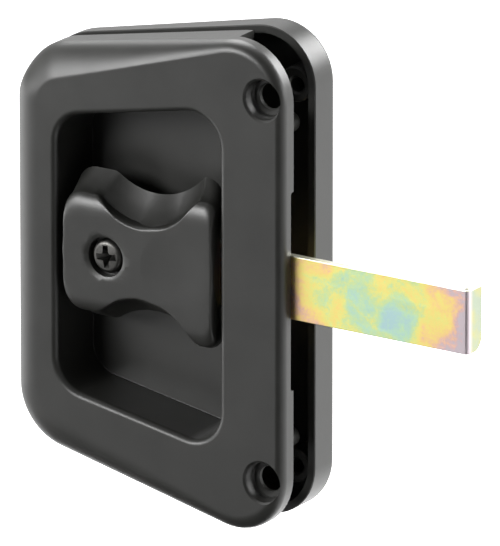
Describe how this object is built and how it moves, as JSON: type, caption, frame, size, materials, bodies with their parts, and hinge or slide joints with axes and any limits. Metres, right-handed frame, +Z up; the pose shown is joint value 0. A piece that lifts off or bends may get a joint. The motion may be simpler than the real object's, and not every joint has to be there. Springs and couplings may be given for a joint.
{
  "type": "sliding screen door latch and pull",
  "caption": "Tapered black pulls for the two sides of a sliding screen door, with a recessed bow-tie lever that swings a flat plated steel latch bar between them.",
  "frame": {"origin": "where the lever's pivot axis crosses the plane of the inside pull's back rim, held by the door's edge stile", "axes": "+X across the door towards the latching side, +Y through the door from the inside to the outside, +Z up"},
  "size_m": [0.1014, 0.0224, 0.0981],
  "materials": {
    "black_plastic": "satin moulded",
    "zinc_plate": "yellow iridescent zinc plate",
    "dark_steel": "blackened",
    "steel": "plain",
    "nylon": "natural"
  },
  "bodies": {
    "pulls": {"inside_pull": "black_plastic", "outside_pull": "black_plastic", "friction_washer": "steel"},
    "latch": {"inside_lever": "black_plastic", "outside_lever": "black_plastic", "latch_bar": "zinc_plate", "pivot_spindle": "steel", "inside_bush": "nylon", "outside_bush": "nylon", "inside_lever_screw": "dark_steel", "outside_lever_screw": "dark_steel"}
  },
  "joints": [
    {"name": "latch_pivot", "type": "hinge", "parent": "pulls", "child": "latch", "pos_m": [0, 0, 0], "axis": [0, -1, 0], "range_deg": [-5, 5]}
  ]
}
